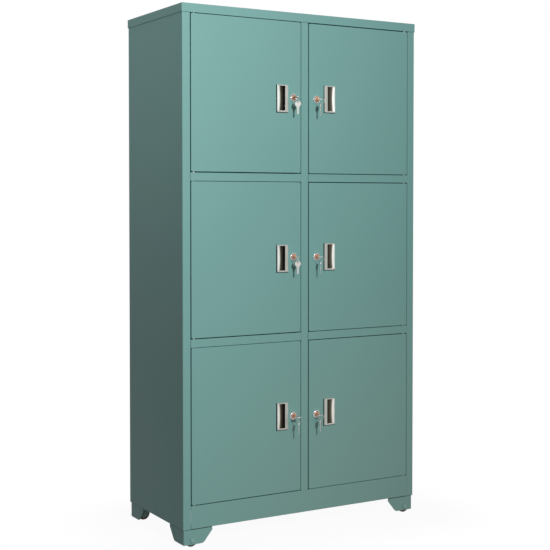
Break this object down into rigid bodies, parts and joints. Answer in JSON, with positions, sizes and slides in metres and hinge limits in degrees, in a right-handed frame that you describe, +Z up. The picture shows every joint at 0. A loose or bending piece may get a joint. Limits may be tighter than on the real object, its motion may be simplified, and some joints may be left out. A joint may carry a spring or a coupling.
{
  "type": "steel cabinet",
  "caption": "Tall free-standing steel cabinet with hinged lockable doors in rows, recessed pulls, hanging spare keys and feet with roller wheels.",
  "frame": {"origin": "middle of the bounding box on the floor, at the height of the bottom of the wheels", "axes": "+Z up, the doors face -Y, +X to the right of someone who faces the doors"},
  "size_m": [1.044, 0.5443, 1.981],
  "materials": {
    "paint": "satin sage-green powder coat with fine orange peel",
    "inner_paint": "satin sage-green powder coat, thinner inside",
    "satin_nickel": "satin nickel plate",
    "chrome": "polished chrome plate",
    "lock_brass": "polished copper-coloured brass",
    "key_steel": "nickel-plated steel",
    "zinc_steel": "zinc plate",
    "wheel": "dark moulded plastic with paint overspray"
  },
  "bodies": {
    "carcass": {"top_panel": "paint", "top_rail": "paint", "left_side_panel": "paint", "right_side_panel": "paint", "back_panel": "paint", "floor_panel": "inner_paint", "plinth": "paint", "centre_post": "paint", "centre_partition": "inner_paint", "shelf_lower_left": "paint", "shelf_lower_right": "paint", "shelf_upper_left": "paint", "shelf_upper_right": "paint", "hinge_pin_bottom_left": "zinc_steel", "hinge_pin_bottom_right": "zinc_steel", "hinge_pin_lower_left": "zinc_steel", "hinge_pin_lower_right": "zinc_steel", "hinge_pin_upper_left": "zinc_steel", "hinge_pin_upper_right": "zinc_steel", "hinge_pin_top_left": "zinc_steel", "hinge_pin_top_right": "zinc_steel", "foot_front_left": "paint", "foot_front_right": "paint", "foot_rear_left": "paint", "foot_rear_right": "paint"},
    "door_lower_left": {"door_lower_left": "paint", "pull_lower_left": "satin_nickel", "lock_case_lower_left": "chrome"},
    "lock_plug_lower_left": {"lock_plug_lower_left": "lock_brass"},
    "spare_key_lower_left": {"spare_key_lower_left": "key_steel"},
    "door_lower_right": {"door_lower_right": "paint", "pull_lower_right": "satin_nickel", "lock_case_lower_right": "chrome"},
    "lock_plug_lower_right": {"lock_plug_lower_right": "lock_brass"},
    "spare_key_lower_right": {"spare_key_lower_right": "key_steel"},
    "door_middle_left": {"door_middle_left": "paint", "pull_middle_left": "satin_nickel", "lock_case_middle_left": "chrome"},
    "lock_plug_middle_left": {"lock_plug_middle_left": "lock_brass"},
    "spare_key_middle_left": {"spare_key_middle_left": "key_steel"},
    "door_middle_right": {"door_middle_right": "paint", "pull_middle_right": "satin_nickel", "lock_case_middle_right": "chrome"},
    "lock_plug_middle_right": {"lock_plug_middle_right": "lock_brass"},
    "spare_key_middle_right": {"spare_key_middle_right": "key_steel"},
    "door_upper_left": {"door_upper_left": "paint", "pull_upper_left": "satin_nickel", "lock_case_upper_left": "chrome"},
    "lock_plug_upper_left": {"lock_plug_upper_left": "lock_brass"},
    "spare_key_upper_left": {"spare_key_upper_left": "key_steel"},
    "door_upper_right": {"door_upper_right": "paint", "pull_upper_right": "satin_nickel", "lock_case_upper_right": "chrome"},
    "lock_plug_upper_right": {"lock_plug_upper_right": "lock_brass"},
    "spare_key_upper_right": {"spare_key_upper_right": "key_steel"},
    "wheel_front_left": {"wheel_front_left": "wheel"},
    "wheel_front_right": {"wheel_front_right": "wheel"},
    "wheel_rear_left": {"wheel_rear_left": "wheel"},
    "wheel_rear_right": {"wheel_rear_right": "wheel"}
  },
  "joints": [
    {"name": "door_lower_left_hinge", "type": "hinge", "parent": "carcass", "child": "door_lower_left", "pos_m": [-0.4725, -0.21165, 0.4426], "axis": [0, 0, -1], "range_deg": [0, 120]},
    {"name": "lock_lower_left_turn", "type": "hinge", "parent": "door_lower_left", "child": "lock_plug_lower_left", "pos_m": [-0.053, -0.21865, 0.4452], "axis": [0, 1, 0], "range_deg": [0, 90]},
    {"name": "spare_key_lower_left_swing", "type": "hinge", "parent": "lock_plug_lower_left", "child": "spare_key_lower_left", "pos_m": [-0.053, -0.26065, 0.4452], "axis": [-1, 0, 0], "range_deg": [-15, 90]},
    {"name": "door_lower_right_hinge", "type": "hinge", "parent": "carcass", "child": "door_lower_right", "pos_m": [0.4725, -0.21165, 0.4414], "axis": [0, 0, 1], "range_deg": [0, 120]},
    {"name": "lock_lower_right_turn", "type": "hinge", "parent": "door_lower_right", "child": "lock_plug_lower_right", "pos_m": [0.0517, -0.21865, 0.4428], "axis": [0, -1, 0], "range_deg": [0, 90]},
    {"name": "spare_key_lower_right_swing", "type": "hinge", "parent": "lock_plug_lower_right", "child": "spare_key_lower_right", "pos_m": [0.0517, -0.24915, 0.4428], "axis": [-1, 0, 0], "range_deg": [-15, 90]},
    {"name": "door_middle_left_hinge", "type": "hinge", "parent": "carcass", "child": "door_middle_left", "pos_m": [-0.4725, -0.21165, 1.0521], "axis": [0, 0, -1], "range_deg": [0, 120]},
    {"name": "lock_middle_left_turn", "type": "hinge", "parent": "door_middle_left", "child": "lock_plug_middle_left", "pos_m": [-0.053, -0.21865, 1.0543], "axis": [0, 1, 0], "range_deg": [0, 90]},
    {"name": "spare_key_middle_left_swing", "type": "hinge", "parent": "lock_plug_middle_left", "child": "spare_key_middle_left", "pos_m": [-0.053, -0.25315, 1.0543], "axis": [-1, 0, 0], "range_deg": [-15, 90]},
    {"name": "door_middle_right_hinge", "type": "hinge", "parent": "carcass", "child": "door_middle_right", "pos_m": [0.4725, -0.21165, 1.0509], "axis": [0, 0, 1], "range_deg": [0, 120]},
    {"name": "lock_middle_right_turn", "type": "hinge", "parent": "door_middle_right", "child": "lock_plug_middle_right", "pos_m": [0.0517, -0.21865, 1.0519], "axis": [0, -1, 0], "range_deg": [0, 90]},
    {"name": "spare_key_middle_right_swing", "type": "hinge", "parent": "lock_plug_middle_right", "child": "spare_key_middle_right", "pos_m": [0.0517, -0.24915, 1.0519], "axis": [-1, 0, 0], "range_deg": [-15, 90]},
    {"name": "door_upper_left_hinge", "type": "hinge", "parent": "carcass", "child": "door_upper_left", "pos_m": [-0.4725, -0.21165, 1.6601], "axis": [0, 0, -1], "range_deg": [0, 120]},
    {"name": "lock_upper_left_turn", "type": "hinge", "parent": "door_upper_left", "child": "lock_plug_upper_left", "pos_m": [-0.053, -0.21865, 1.6592], "axis": [0, 1, 0], "range_deg": [0, 90]},
    {"name": "spare_key_upper_left_swing", "type": "hinge", "parent": "lock_plug_upper_left", "child": "spare_key_upper_left", "pos_m": [-0.053, -0.25315, 1.6592], "axis": [-1, 0, 0], "range_deg": [-15, 90]},
    {"name": "door_upper_right_hinge", "type": "hinge", "parent": "carcass", "child": "door_upper_right", "pos_m": [0.4725, -0.21165, 1.6589], "axis": [0, 0, 1], "range_deg": [0, 120]},
    {"name": "lock_upper_right_turn", "type": "hinge", "parent": "door_upper_right", "child": "lock_plug_upper_right", "pos_m": [0.0517, -0.21865, 1.6568], "axis": [0, -1, 0], "range_deg": [0, 90]},
    {"name": "spare_key_upper_right_swing", "type": "hinge", "parent": "lock_plug_upper_right", "child": "spare_key_upper_right", "pos_m": [0.0517, -0.24915, 1.6568], "axis": [-1, 0, 0], "range_deg": [-15, 90]},
    {"name": "wheel_front_left_roll", "type": "hinge", "parent": "carcass", "child": "wheel_front_left", "pos_m": [-0.4805, -0.18685, 0.025], "axis": [0, 1, 0], "continuous": true},
    {"name": "wheel_front_right_roll", "type": "hinge", "parent": "carcass", "child": "wheel_front_right", "pos_m": [0.4805, -0.18685, 0.025], "axis": [0, 1, 0], "continuous": true},
    {"name": "wheel_rear_left_roll", "type": "hinge", "parent": "carcass", "child": "wheel_rear_left", "pos_m": [-0.4805, 0.23915, 0.025], "axis": [0, 1, 0], "continuous": true},
    {"name": "wheel_rear_right_roll", "type": "hinge", "parent": "carcass", "child": "wheel_rear_right", "pos_m": [0.4805, 0.23915, 0.025], "axis": [0, 1, 0], "continuous": true}
  ]
}
